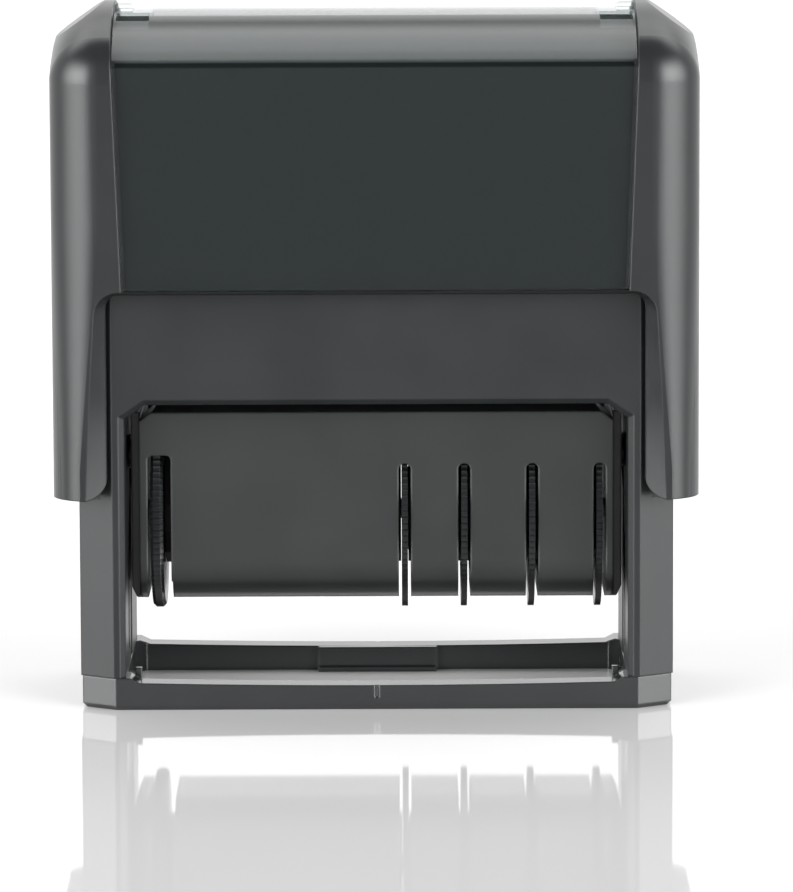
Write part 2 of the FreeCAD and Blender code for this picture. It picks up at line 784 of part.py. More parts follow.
def shoulder_outline(inset, low, top):
    """Cap as seen from the front: upright sides and bevelled top corners, pushed along Y."""
    side = cap_half_width - inset
    slope = shoulder_drop / shoulder_run
    line_x = cap_half_width - shoulder_run
    line_z = cap_crest - inset * math.hypot(shoulder_run, shoulder_drop) / shoulder_run
    corner_z = line_z - (side - line_x) * slope
    top_x = line_x + (line_z - top) / slope
    quarter = [(side, low), (side, corner_z), (top_x, top)]
    outline = quarter + [(-x, z) for x, z in reversed(quarter)]
    reach = cap_half_depth + cut_margin
    return prism([Vector(x, -reach, z) for x, z in outline], Vector(0, 2 * reach, 0))


def cap_blank():
    """Outer form of the cap."""
    blank = arched(cap_half_depth, 0, cap_half_width, wing_bottom, cover_below_crest)
    rounded = [edge for edge in blank.Edges if edge.BoundBox.ZMax > cap_lip]
    blank = blank.makeFillet(cap_corner_radius, rounded)
    return blank.common(shoulder_outline(0, wing_bottom - cut_margin, cap_crest + cut_margin))


def cap_cavity():
    """Hollow of the cap."""
    low = wing_bottom - cut_margin
    lower = low - cut_margin
    hollow = rounded_plan(cavity_half_width, cavity_half_depth, cap_inner_corner, low, cap_crest)
    hollow = hollow.common(arched(cavity_half_depth, seat_inset + cap_roof,
                                  cavity_half_width + cut_margin, lower))
    return hollow.common(shoulder_outline(wing_wall, lower, cover_crest))


def window_trapezoid(grow, z0):
    """Slot between the wings for the cover, wider at the top, pushed along Y."""
    slope = (cover_half_top - cover_half_bottom) / (cover_crest - cover_bottom)
    top_z = cap_crest + cut_margin
    low_x = cover_half_bottom + (z0 - cover_bottom) * slope + grow
    top_x = cover_half_bottom + (top_z - cover_bottom) * slope + grow
    reach = cap_half_depth + cut_margin
    points = [(low_x, z0), (top_x, top_z), (-top_x, top_z), (-low_x, z0)]
    return prism([Vector(x, -reach, z) for x, z in points], Vector(0, 2 * reach, 0))


def wing_gap_outline(share):
    """Outline of the open front, on the wall's inner face at share 0 and its outer face at 1."""
    y = -cavity_half_depth - share * (cap_half_depth - cavity_half_depth)
    low = wing_bottom - cut_margin
    top = cap_lip + share * lip_chamfer
    inner_x = frame_half_width - wing_bevel_in
    top_x = inner_x + share * wing_bevel_top
    low_x = inner_x + share * wing_bevel_bottom
    corner = lip_round * (1 + share)
    bend = corner * (1 - math.sqrt(0.5))
    return Part.Wire([
        line(Vector(-low_x, y, low), Vector(low_x, y, low)),
        line(Vector(low_x, y, low), Vector(top_x, y, top - corner)),
        arc(Vector(top_x, y, top - corner), Vector(top_x - bend, y, top - bend),
            Vector(top_x - corner, y, top)),
        line(Vector(top_x - corner, y, top), Vector(corner - top_x, y, top)),
        arc(Vector(corner - top_x, y, top), Vector(bend - top_x, y, top - bend),
            Vector(-top_x, y, top - corner)),
        line(Vector(-top_x, y, top - corner), Vector(-low_x, y, low)),
    ])


def wing_gap():
    """Open part of the cap's front wall below the lip, bevelled at its sides."""
    return Part.makeLoft([wing_gap_outline(-bevel_over), wing_gap_outline(1 + bevel_over)], True, True)


def wing_toe_cut():
    """Rounds the wing's inner bottom corner."""
    inner_x = frame_half_width - wing_bevel_in
    outer_x = inner_x + wing_bevel_bottom
    past_x = inner_x - cut_margin
    low = wing_bottom - cut_margin
    high = wing_bottom + wing_toe
    y = -cap_half_depth - cut_margin
    bend = math.sqrt(0.5)
    middle = Vector(outer_x - wing_bevel_bottom * bend, y, high - wing_toe * bend)
    edges = [
        arc(Vector(outer_x, y, wing_bottom), middle, Vector(inner_x, y, high)),
        line(Vector(inner_x, y, high), Vector(past_x, y, high)),
        line(Vector(past_x, y, high), Vector(past_x, y, low)),
        line(Vector(past_x, y, low), Vector(outer_x, y, low)),
        line(Vector(outer_x, y, low), Vector(outer_x, y, wing_bottom)),
    ]
    return from_edges(edges, Vector(0, -cavity_half_depth - y, 0))


def finger_step_cut():
    """Shallow step in the side face below the button's upper edge."""
    return box(cap_half_width - finger_step, cap_half_width + cut_margin, -finger_step_half,
               finger_step_half, wing_bottom - cut_margin, finger_step_top)


def button_hole():
    """Stepped hole for a lock button: narrow outside, wider for the flange inside."""
    half_y = button_half_width + button_gap
    half_z = button_half_height + button_gap
    inner_x = cavity_half_width - cut_margin
    hole = box(inner_x, cap_half_width + cut_margin, -half_y, half_y,
               button_z - half_z, button_z + half_z)
    wide_y = half_y + button_flange
    wide_z = half_z + button_flange
    wide_x = cavity_half_width + button_flange_wall + button_stroke + button_gap
    return hole.fuse(box(inner_x, wide_x, -wide_y, wide_y, button_z - wide_z, button_z + wide_z))


def make_cap():
    """Outer shell that the hand presses."""
    recess = window_trapezoid(cover_side_gap, cover_bottom)
    recess = recess.cut(arched(cover_half_depth - seat_inset, seat_inset,
                               cap_half_width + cut_margin, cover_bottom - cut_margin))
    cap = cap_blank().cut(recess).cut(cap_cavity())
    cap = cap.cut(front_and_rear(wing_gap()))
    cap = cap.cut(front_and_rear(both_sides(wing_toe_cut())))
    cap = cap.cut(both_sides(finger_step_cut()))
    cap = cap.cut(both_sides(button_hole()))
    for x in (-post_half_spacing, post_half_spacing):
        cap = cap.fuse(post(post_half, x, 0, yoke_top, ceiling_crest + cap_roof / 2))
    return cap.removeSplitter()


def clip_slot():
    """Slot through the cover's top near its end."""
    end_x = cover_half_top - clip_slot_side
    return box(end_x - clip_slot_width, end_x, -clip_slot_to, -clip_slot_from,
               arch_height(clip_slot_to, cover_wall) - cut_margin, cap_crest + cut_margin)


def make_window_cover():
    """Clear cover bent over the front, top and rear of the cap."""
    outer = arched(cover_half_depth, 0, cap_half_width, cover_bottom)
    outer = round_long_edges(outer, arch_edge_round, arch_height(cover_half_depth, 0))
    inner = arched(cover_half_depth - cover_wall, cover_wall, cap_half_width + cut_margin,
                   cover_bottom - cut_margin)
    cover = outer.cut(inner).common(window_trapezoid(0, cover_bottom + seat_clearance))
    cover = cover.cut(both_sides(front_and_rear(clip_slot())))
    tab_x = cover_half_top - cover_tab_width
    tab = box(tab_x, cover_half_top - hair_gap, -cover_tab_half, cover_tab_half,
              cover_crest - cover_wall / 2, cover_crest + cover_tab_height)
    upper = [edge for edge in tab.Edges if edge.BoundBox.ZMin > cover_crest]
    tab = tab.makeChamfer(cover_tab_height / 3, upper)
    return cover.fuse(both_sides(tab)).removeSplitter()


def make_index_card():
    """Printed card folded under the clear cover."""
    outer = arched(cover_half_depth - cover_wall - hair_gap, cover_wall + hair_gap,
                   cap_half_width, cover_bottom)
    inset = cover_wall + card_thickness
    inner = arched(cover_half_depth - inset, inset, cap_half_width + cut_margin,
                   cover_bottom - cut_margin)
    return outer.cut(inner).common(window_trapezoid(-2 * cover_side_gap, cover_bottom + seat_clearance))


def make_yoke():
    """Bracket in the cap whose arms carry the wheel box on its pivot pins."""
    outer_x = pocket_outer - guide_clearance
    inner_x = pocket_inner + guide_clearance
    arm = box(inner_x, outer_x, -arm_half_width, arm_half_width, pivot_rest, yoke_top)
    arm = arm.fuse(rod_x(arm_half_width, inner_x, outer_x, 0, pivot_rest))
    bar = box(-outer_x, outer_x, -arm_half_width, arm_half_width, yoke_top - yoke_bar, yoke_top)
    seat = post(spring_seat_half, 0, 0, yoke_top - yoke_bar, yoke_top)
    yoke = both_sides(arm).fuse(bar).fuse(seat)
    stub = spring_boss(yoke_top - yoke_bar - spring_boss_height, yoke_top - yoke_bar + hair_gap)
    hole = rod_x(pin_radius + running_clearance, -outer_x - cut_margin, outer_x + cut_margin,
                 0, pivot_rest)
    return yoke.fuse(stub).cut(hole).removeSplitter()


def spring_point(share):
    """Middle of the spring's wire, with closer turns at both ends."""
    angle = 2 * math.pi * spring_turns * share
    low = deck_top + wire_radius + hair_gap
    high = yoke_top - yoke_bar - wire_radius - hair_gap
    eased = share - spring_end_ease * math.sin(2 * math.pi * share) / (2 * math.pi)
    return Vector(spring_radius * math.cos(angle), spring_radius * math.sin(angle),
                  low + (high - low) * eased)


def spring_heading(share):
    """Direction of the spring's wire."""
    angle = 2 * math.pi * spring_turns * share
    height = yoke_top - yoke_bar - deck_top - 2 * (wire_radius + hair_gap)
    rise = height * (1 - spring_end_ease * math.cos(2 * math.pi * share))
    turn = 2 * math.pi * spring_turns * spring_radius
    return Vector(-math.sin(angle) * turn, math.cos(angle) * turn, rise).normalize()


def wire_section(share):
    """Section of the spring's wire, square to it."""
    middle = spring_point(share)
    out = Vector(middle.x, middle.y, 0).normalize()
    across = spring_heading(share).cross(out)
    corners = []
    for step in range(wire_sides):
        angle = 2 * math.pi * step / wire_sides
        corners.append(middle + (out * math.cos(angle) + across * math.sin(angle)) * wire_radius)
    return Part.makePolygon(corners + [corners[0]])


def make_return_spring():
    """Coil spring between the frame's deck and the yoke."""
    runs = turn_runs * spring_turns
    return Part.makeLoft([wire_section(step / runs) for step in range(runs + 1)], True, True)


def spring_self_gap():
    """Least gap between turns of the spring, measured on points."""
    count = 60 * spring_turns
    points = [spring_point(step / count) for step in range(count + 1)]
    least = math.inf
    for first in range(count + 1):
        for second in range(first + 30, count + 1):
            least = min(least, points[first].distanceToPoint(points[second]))
    return least - 2 * wire_radius


def make_lock_button(side):
    """Push button in the wing whose stem reaches into the leg's groove."""
    outer_x = cap_half_width - button_recess
    flange_x = cavity_half_width + button_stroke
    button = box(flange_x, outer_x, -button_half_width, button_half_width,
                 button_z - button_half_height, button_z + button_half_height)
    outer_edges = [edge for edge in button.Edges if edge.BoundBox.XMin > outer_x - hair_gap]
    button = button.makeChamfer(button_recess, outer_edges)
    half_y = button_half_width + button_flange
    half_z = button_half_height + button_flange
    flange = box(flange_x, flange_x + button_flange_wall, -half_y, half_y,
                 button_z - half_z, button_z + half_z)
    stem_x = frame_half_width + hair_gap
    stem = box(stem_x, flange_x + hair_gap, -button_stem_half, button_stem_half,
               button_z - button_stem_half, button_z + button_stem_half)
    button = button.fuse(flange).fuse(stem).removeSplitter()
    return button if side > 0 else mirrored(button)


def pieces():
    """Every piece by its name."""
    made = {
        "frame": make_frame(),
        "base_ring": make_base_ring(),
        "pad_tray": make_pad_tray(),
        "ink_pad": make_ink_pad(),
        "cap": make_cap(),
        "window_cover": make_window_cover(),
        "index_card": make_index_card(),
        "yoke": make_yoke(),
        "return_spring": make_return_spring(),
        "lock_button_left": make_lock_button(-1),
        "lock_button_right": make_lock_button(1),
        "wheel_box": make_wheel_box(),
        "end_plate_left": make_end_plate(-1),
        "end_plate_right": make_end_plate(1),
        "wheel_axle": make_wheel_axle(),
        "type_bridge": make_type_bridge(),
    }
    for name in wheel_places():
        made[name + "_wheel"] = make_wheel(name)
        made[name + "_band"] = make_band(name)
    return made


os.makedirs("parts", exist_ok=True)
for piece_name, shape in pieces().items():
    shape.exportStep(os.path.join("parts", piece_name + ".step"))
    size = shape.BoundBox
    print(f"{piece_name:18} solids {len(shape.Solids)} valid {shape.isValid()} "
          f"volume {shape.Volume:9.2f} x {size.XMin:.2f}..{size.XMax:.2f} "
          f"y {size.YMin:.2f}..{size.YMax:.2f} z {size.ZMin:.2f}..{size.ZMax:.2f}")
print(f"travel {travel:.2f}, pivot at rest {pivot_rest:.2f}, frame top {frame_top:.2f}")
print(f"spring self gap {spring_self_gap():.2f}")
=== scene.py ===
"""Looks of a self-inking date stamp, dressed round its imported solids, in metres.

The stamp stands on its foot ring at the origin, its front faces -Y and +Z is up.
"""

import math

import bmesh
import bpy
from mathutils import Matrix, Vector, noise as fractal


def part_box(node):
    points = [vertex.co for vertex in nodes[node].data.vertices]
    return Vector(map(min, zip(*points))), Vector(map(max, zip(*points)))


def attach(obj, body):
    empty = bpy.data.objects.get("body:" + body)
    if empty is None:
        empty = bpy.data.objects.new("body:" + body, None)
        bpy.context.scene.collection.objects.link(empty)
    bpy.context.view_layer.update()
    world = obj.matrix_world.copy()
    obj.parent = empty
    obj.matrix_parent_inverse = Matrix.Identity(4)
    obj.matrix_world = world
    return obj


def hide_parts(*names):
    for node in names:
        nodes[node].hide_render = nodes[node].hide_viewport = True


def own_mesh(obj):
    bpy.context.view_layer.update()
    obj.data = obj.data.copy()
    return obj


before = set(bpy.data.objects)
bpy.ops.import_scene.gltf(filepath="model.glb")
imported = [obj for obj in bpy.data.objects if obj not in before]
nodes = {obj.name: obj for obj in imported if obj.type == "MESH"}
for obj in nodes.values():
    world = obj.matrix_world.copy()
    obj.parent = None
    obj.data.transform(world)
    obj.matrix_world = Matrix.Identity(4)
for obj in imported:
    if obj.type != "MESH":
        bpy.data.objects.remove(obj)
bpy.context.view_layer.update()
mm = 0.001
full_turn = 2 * math.pi
quarter_turn = math.pi / 2
white = (1.0, 1.0, 1.0, 1.0)

# Camera, as in the photograph's frame
image_height = 892
focal_length_px = 5951.0
sensor = 36.0
camera_back = 588.0 * mm
camera_right = 2.0 * mm
camera_height = 103.8 * mm
camera_pitch = math.radians(7.695)
camera_roll = math.radians(0.22)
camera_near = 0.05
camera_far = 40.0

# Studio: soft panels in the surroundings. Azimuths run from the front to either side, in degrees,
# and each span says where a panel starts, is full, is full until, and ends.
side_radiance = 10.6
side_azimuths = (15, 38, 50, 107)
side_elevations = (-30, -10, 16, 50)
flank_radiance = 0.8
flank_azimuths = (92, 115, 150, 178)
flank_elevations = (-30, -10, 32, 62)
back_radiance = 1.15
back_azimuths = (140, 176, 190, 200)
back_elevations = (-30, -10, 22, 45)
top_radiance = 2.1
top_azimuths = (80, 130, 190, 200)
top_elevations = (33, 46, 58, 72)
room_radiance = 0.16
floor_size = 8.0
floor_mirror = 0.36         # share of the table's light that it mirrors
floor_shade = 0.65
floor_rough = (0.04, 0.05)
floor_cloud = 60 * mm

# Noise: nearly all of its values lie between these two
noise_low = 0.3
noise_high = 0.7

# Moulded plastics
plastic_colour = (0.0095, 0.011, 0.0118)
box_colour = (0.0105, 0.012, 0.0122)
wheel_colour = (0.014, 0.015, 0.016)
rubber_colour = (0.012, 0.012, 0.013)
inner_colour = (0.03, 0.03, 0.033)
grain_pitch = 0.12 * mm
fine_grain = 0.004 * mm     # depth of the grain
coarse_grain = 0.006 * mm
cloud_size = 9 * mm         # patches of uneven colour and gloss
mottle = 0.12
gloss_spread = 0.07
worn_lift = 0.35            # how much paler a worn edge is
wear_spread = 0.35          # how soon an edge counts as worn, from its bend
edge_round = 0.22 * mm      # rounding of moulded edges
box_round = 0.3 * mm
wheel_round = 0.05 * mm
rubber_round = 0.06 * mm

# Upright corners of the cap: full size above corner_full_z, smaller at corner_low_z
corner_radius = 4.8 * mm
corner_full_z = 48 * mm
corner_low = 2.8 * mm
corner_low_z = 24 * mm
corner_crease = math.radians(12)
corner_skin = 0.1 * mm
wing_front_lean = 0.95      # the wings' lower fronts count as flat up to this cosine of their lean
wing_front_top = 41 * mm
wing_front_start = -0.7 * mm    # from the start of the corner

# Clear cover
cover_ior = 1.42
cover_ripple = 14 * mm
cover_ripple_depth = 0.02 * mm
cover_face_tint = (0.93, 0.95, 0.95, 1.0)
cover_edge_tint = (0.34, 0.36, 0.36, 1.0)

# Printed card
card_top_drop = 3.6 * mm    # its pale print starts this far under its crest
card_print_edge = 0.1 * mm
card_fibre = 0.4 * mm
card_fibre_depth = 0.003 * mm
card_dark = (0.012, 0.016, 0.0165, 1.0)
card_pale = (0.13, 0.14, 0.14, 1.0)
card_rough = (0.5, 0.6)

# Drawn steel
steel_colour = (0.5, 0.5, 0.52)
steel_line_pitch = 0.05 * mm
steel_line_depth = 0.002 * mm
oil_size = 3 * mm
oil_shade = (0.85, 1.05)
steel_rough = (0.22, 0.34)

# Felt pad
felt_colour = (0.014, 0.014, 0.03)
felt_fibre = 0.18 * mm
felt_fibre_depth = 0.08 * mm
felt_shade = (0.6, 1.4)
felt_wet_size = 6 * mm
felt_rough = (0.62, 0.92)
pad_cuts = 24
pad_sag = 0.12 * mm         # inking face at its rim, over its middle
pad_crown_power = (8, 6)    # along X and Y
pad_rim_pull = 0.35 * mm
pad_rim_share = 6           # the rim is drawn in over one sixth of the half height
pad_rim_from = 0.99         # points of the cube beyond this lie on its outer faces
pad_fluff = 0.04 * mm
pad_fluff_size = 1.5 * mm

# Return spring
wire_radius = 0.4 * mm
wire_sides = 12
spring_turns = 5
spring_end_ease = 0.65      # how much closer the turns lie at both ends
turn_steps = 48


def make_camera():
    """Camera at the photograph's angle."""
    data = bpy.data.cameras.new("photo_camera")
    data.sensor_width = sensor
    data.lens = focal_length_px * sensor / image_height
    data.clip_start = camera_near
    data.clip_end = camera_far
    camera = bpy.data.objects.new("photo_camera", data)
    turn = Matrix.Rotation(quarter_turn - camera_pitch, 4, "X") @ Matrix.Rotation(-camera_roll, 4, "Z")
    camera.matrix_world = Matrix.Translation((camera_right, -camera_back, camera_height)) @ turn
    bpy.context.scene.collection.objects.link(camera)
    bpy.context.scene.camera = camera


class Shader:
    """Short way to lay out the nodes of one material or world."""

    def __init__(self, owner):
        owner.use_nodes = True
        self.tree = owner.node_tree
        self.tree.nodes.clear()

    def add(self, kind, **values):
        """Node with its settings and inputs, in that order: a setting decides which inputs are there."""
        node = self.tree.nodes.new(kind)
        inputs = {socket.name.lower().replace(" ", "_") for socket in node.inputs}
        for key, value in values.items():
            if key in inputs:
                name = key.replace("_", " ")
                socket = next(s for s in node.inputs if s.name.lower() == name and s.enabled)
                self.feed(socket, value)
            else:
                setattr(node, key, value)
        return node

    def feed(self, socket, value):
        """Links an input to another node's output, or sets it."""
        if isinstance(value, bpy.types.NodeSocket):
            self.tree.links.new(value, socket)
        else:
            socket.default_value = value


def math_node(shader, operation, *values):
    """Result of one operation on sockets or numbers."""
    node = shader.add("ShaderNodeMath", operation=operation)
    for socket, value in zip(node.inputs, values):
        shader.feed(socket, value)
    return node.outputs["Value"]


def product(shader, first, *others):
    """Values multiplied."""
    for other in others:
        first = math_node(shader, "MULTIPLY", first, other)
    return first


def mapped(shader, value, start, end, low, high):
    """Runs from low to high while a value runs from start to end, and stays there beyond."""
    return shader.add("ShaderNodeMapRange", value=value, from_min=start, from_max=end,
                      to_min=low, to_max=high).outputs["Result"]


def mix(shader, kind, share, first, second):
    """From the first value at share 0 to the second at share 1; kind is RGBA or VECTOR."""
    node = shader.add("ShaderNodeMix", data_type=kind, factor=share, a=first, b=second)
    return next(socket for socket in node.outputs if socket.enabled)


def mix_shaders(shader, share, first, second):
    """Surface from the first shader at share 0 to the second at share 1."""
    node = shader.add("ShaderNodeMixShader", fac=share)
    for socket, part in zip(node.inputs[1:], (first, second)):
        shader.feed(socket, part.outputs["BSDF"])
    shader.add("ShaderNodeOutputMaterial", surface=node.outputs["Shader"])


def principled(shader, **values):
    """Surface with these inputs."""
    surface = shader.add("ShaderNodeBsdfPrincipled", **values)
    shader.add("ShaderNodeOutputMaterial", surface=surface.outputs["BSDF"])


def object_place(shader):
    """Place in the piece's own space."""
    return shader.add("ShaderNodeTexCoord").outputs["Object"]


def noise(shader, size, detail):
    """Fractal noise in the piece's own space, with features of this size."""
    return shader.add("ShaderNodeTexNoise", vector=object_place(shader), scale=1 / size,
                      detail=detail).outputs["Fac"]


def between(shader, noisy, low, high):
    """Maps noise to a range of values."""
    return mapped(shader, noisy, noise_low, noise_high, low, high)


def scaled(shader, colour, factor):
    """Colour times a factor."""
    return shader.add("ShaderNodeVectorMath", operation="SCALE", vector=colour,
                      scale=factor).outputs["Vector"]


def new_material(name):
    """Material with no nodes yet, and what lays them out."""
    material = bpy.data.materials.new(name)
    return material, Shader(material)


def ramp(shader, value, start, full):
    """Smooth rise or fall between two angles in degrees."""
    low, high = sorted((start, full))
    ends = (0.0, 1.0) if start < full else (1.0, 0.0)
    return shader.add("ShaderNodeMapRange", value=value, interpolation_type="SMOOTHSTEP",
                      from_min=math.radians(low), from_max=math.radians(high),
                      to_min=ends[0], to_max=ends[1]).outputs["Result"]


def panel(shader, angle, span):
    """1 inside a span of angles, with soft ends."""
    start, full, full_until, end = span
    return product(shader, ramp(shader, angle, start, full), ramp(shader, angle, end, full_until))


def make_sky():
    """Studio surroundings: tall soft panels at both sides, weaker ones behind and overhead."""
    world = bpy.data.worlds.new("studio")
    bpy.context.scene.world = world
    shader = Shader(world)
    place = shader.add("ShaderNodeTexCoord").outputs["Generated"]
    parts = shader.add("ShaderNodeSeparateXYZ", vector=place)
    across = math_node(shader, "ABSOLUTE", parts.outputs["X"])
    forward = math_node(shader, "MULTIPLY", parts.outputs["Y"], -1.0)
    azimuth = math_node(shader, "ARCTAN2", across, forward)
    elevation = math_node(shader, "ARCSINE", parts.outputs["Z"])
    strength = room_radiance
    for radiance, azimuths, elevations in ((side_radiance, side_azimuths, side_elevations),
                                           (flank_radiance, flank_azimuths, flank_elevations),
                                           (back_radiance, back_azimuths, back_elevations),
                                           (top_radiance, top_azimuths, top_elevations)):
        seen = product(shader, panel(shader, azimuth, azimuths), panel(shader, elevation, elevations))
        strength = math_node(shader, "MULTIPLY_ADD", seen, radiance, strength)
    background = shader.add("ShaderNodeBackground", strength=strength, color=white)
    shader.add("ShaderNodeOutputWorld", surface=background.outputs["Background"])


def make_floor():
    """Pale table top with a soft gloss."""
    material, shader = new_material("pale_table")
    cloud = noise(shader, floor_cloud, detail=2.0)
    matt = shader.add("ShaderNodeBsdfDiffuse", color=(floor_shade, floor_shade, floor_shade, 1.0))
    gloss = shader.add("ShaderNodeBsdfGlossy", color=white, roughness=between(shader, cloud, *floor_rough))
    mix_shaders(shader, floor_mirror, matt, gloss)
    mesh = bpy.data.meshes.new("table")
    half = floor_size / 2
    corners = [(-half, -half, 0), (half, -half, 0), (half, half, 0), (-half, half, 0)]
    mesh.from_pydata(corners, [], [(0, 1, 2, 3)])
    mesh.materials.append(material)
    table = bpy.data.objects.new("table", mesh)
    bpy.context.scene.collection.objects.link(table)


def on_corner_skin(shader, across, along):
    """1 on the rounded skin of the cap's upright corners, 0 elsewhere."""
    corner = shader.add("ShaderNodeCombineXYZ", x=across, y=along).outputs["Vector"]
    reach = shader.add("ShaderNodeVectorMath", operation="LENGTH", vector=corner).outputs["Value"]
    return product(shader, math_node(shader, "GREATER_THAN", across, 0.0),
                   math_node(shader, "GREATER_THAN", along, 0.0),
                   math_node(shader, "GREATER_THAN", reach, corner_radius - corner_skin))


def on_wing_front(shader, normal, before_arc, across, z):
    """1 on the lower fronts of the wings, which count as flat, 0 elsewhere."""
    facing = shader.add("ShaderNodeSeparateXYZ", vector=normal).outputs["Y"]
    lean = math_node(shader, "ABSOLUTE", facing)
    return product(shader, before_arc, math_node(shader, "GREATER_THAN", lean, wing_front_lean),
                   math_node(shader, "LESS_THAN", z, wing_front_top),
                   math_node(shader, "GREATER_THAN", across, wing_front_start))


def tapered_corner(shader, normal):
    """Turns the normal on the cap's upright corners, which tighten and end in a crease lower down."""
    parts = shader.add("ShaderNodeSeparateXYZ", vector=object_place(shader))
    x, y, z = (parts.outputs[axis] for axis in "XYZ")
    half_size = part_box("cap")[1]
    across = math_node(shader, "SUBTRACT", math_node(shader, "ABSOLUTE", x), half_size.x - corner_radius)
    along = math_node(shader, "SUBTRACT", math_node(shader, "ABSOLUTE", y), half_size.y - corner_radius)
    angle = math_node(shader, "ARCTAN2", across, along)
    start_low = math.asin(1 - corner_low / corner_radius)
    start = mapped(shader, z, corner_low_z, corner_full_z, start_low, 0.0)
    crease = mapped(shader, z, corner_low_z, corner_full_z, corner_crease, 0.0)
    turned = mapped(shader, angle, start, math_node(shader, "SUBTRACT", quarter_turn, start),
                    crease, quarter_turn)
    turned = product(shader, turned, math_node(shader, "GREATER_THAN", angle, start))
    side = math_node(shader, "SIGN", product(shader, x, y))
    by = product(shader, math_node(shader, "SUBTRACT", angle, turned),
                 product(shader, side, on_corner_skin(shader, across, along)))
    rotated = shader.add("ShaderNodeVectorRotate", rotation_type="Z_AXIS", vector=normal, angle=by)
    front = shader.add("ShaderNodeCombineXYZ", y=math_node(shader, "SIGN", y))
    level = on_wing_front(shader, normal, math_node(shader, "LESS_THAN", angle, start), across, z)
    return mix(shader, "VECTOR", level, rotated.outputs["Vector"], front.outputs["Vector"])


def edge_wear(shader, rounded):
    """0 on flat faces and up to 1 on edges, from how far rounding turns the surface."""
    face = shader.add("ShaderNodeNewGeometry").outputs["Normal"]
    lean = shader.add("ShaderNodeVectorMath", operation="DOT_PRODUCT")
    for socket, normal in zip(lean.inputs, (face, rounded)):
        shader.feed(socket, normal)
    return mapped(shader, lean.outputs["Value"], 1.0, 1.0 - wear_spread, 0.0, 1.0)


def moulded_plastic(name, colour, roughness, grain_depth=fine_grain, specular=0.5,
                    rounding=edge_round, reshape=None):
    """Plastic with a spark-eroded grain, a little uneven in colour and gloss, paler on its edges."""
    material, shader = new_material(name)
    rounded = shader.add("ShaderNodeBevel", samples=6, radius=rounding).outputs["Normal"]
    grain = noise(shader, grain_pitch, detail=3.0)
    cloud = noise(shader, cloud_size, detail=4.0)
    uneven = between(shader, cloud, 1 - mottle, 1 + mottle)
    paler = mapped(shader, edge_wear(shader, rounded), 0.0, 1.0, 1.0, 1.0 + worn_lift)
    normal = reshape(shader, rounded) if reshape else rounded
    bump = shader.add("ShaderNodeBump", height=grain, distance=grain_depth, strength=1.0, normal=normal)
    gloss = between(shader, cloud, roughness * (1 - gloss_spread), roughness * (1 + gloss_spread))
    principled(shader, base_color=scaled(shader, colour, product(shader, uneven, paler)),
               roughness=gloss, normal=bump.outputs["Normal"], specular_ior_level=specular)
    return material


def drawn_steel():
    """Bright drawn wire and turned rod, with fine lines and a film of oil."""
    material, shader = new_material("drawn_steel")
    lines = noise(shader, steel_line_pitch, detail=2.0)
    film = noise(shader, oil_size, detail=3.0)
    bump = shader.add("ShaderNodeBump", height=lines, distance=steel_line_depth, strength=0.6)
    shade = scaled(shader, steel_colour, between(shader, film, *oil_shade))
    principled(shader, base_color=shade, metallic=1.0, roughness=between(shader, film, *steel_rough),
               normal=bump.outputs["Normal"])
    return material


def inked_felt():
    """Felt soaked with dark ink: matt fibres with wetter patches."""
    material, shader = new_material("inked_felt")
    fibre = noise(shader, felt_fibre, detail=6.0)
    wet = noise(shader, felt_wet_size, detail=3.0)
    bump = shader.add("ShaderNodeBump", height=fibre, distance=felt_fibre_depth, strength=0.8)
    shade = scaled(shader, felt_colour, between(shader, fibre, *felt_shade))
    principled(shader, base_color=shade, roughness=between(shader, wet, *felt_rough),
               normal=bump.outputs["Normal"], sheen_weight=0.25)
    return material


def clear_plastic():
    """Thin clear plastic: a sharp reflection over what lies under it."""
    material, shader = new_material("clear_plastic")
    ripple = noise(shader, cover_ripple, detail=1.0)
    bump = shader.add("ShaderNodeBump", height=ripple, distance=cover_ripple_depth, strength=0.3)
    normal = bump.outputs["Normal"]
    share = shader.add("ShaderNodeFresnel", ior=cover_ior, normal=normal).outputs["Fac"]
    inside = shader.add("ShaderNodeNewGeometry").outputs["Backfacing"]
    outside = mapped(shader, inside, 0.0, 1.0, 1.0, 0.0)
    lean = shader.add("ShaderNodeLayerWeight", blend=0.35).outputs["Facing"]
    tint = mix(shader, "RGBA", lean, cover_face_tint, cover_edge_tint)
    through = shader.add("ShaderNodeBsdfTransparent", color=tint)
    mirror = shader.add("ShaderNodeBsdfGlossy", roughness=0.06, normal=normal, color=white)
    mix_shaders(shader, product(shader, share, outside), through, mirror)
    return material


def printed_card():
    """Card, near black on the front and rear, pale grey over the top."""
    material, shader = new_material("printed_card")
    height = shader.add("ShaderNodeSeparateXYZ", vector=object_place(shader)).outputs["Z"]
    pale_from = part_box("index_card")[1].z - card_top_drop
    top = mapped(shader, height, pale_from - card_print_edge, pale_from + card_print_edge, 0.0, 1.0)
    fibre = noise(shader, card_fibre, detail=3.0)
    bump = shader.add("ShaderNodeBump", height=fibre, distance=card_fibre_depth, strength=0.08)
    principled(shader, base_color=mix(shader, "RGBA", top, card_dark, card_pale),
               roughness=between(shader, fibre, *card_rough), normal=bump.outputs["Normal"],
               specular_ior_level=0.0)
    return material


def paint(node, material):
    """Gives a solid its finish."""
    for slot in nodes[node].material_slots:
        slot.material = material


def new_piece(name, work, body, material, node):
    """Piece of the scene that stands for a solid."""
    mesh = bpy.data.meshes.new(name)
    work.to_mesh(mesh)
    work.free()
    mesh.materials.append(material)
    mesh.shade_smooth()
    piece = bpy.data.objects.new(name, mesh)
    bpy.context.scene.collection.objects.link(piece)
    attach(piece, body)
    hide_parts(node)
    return piece


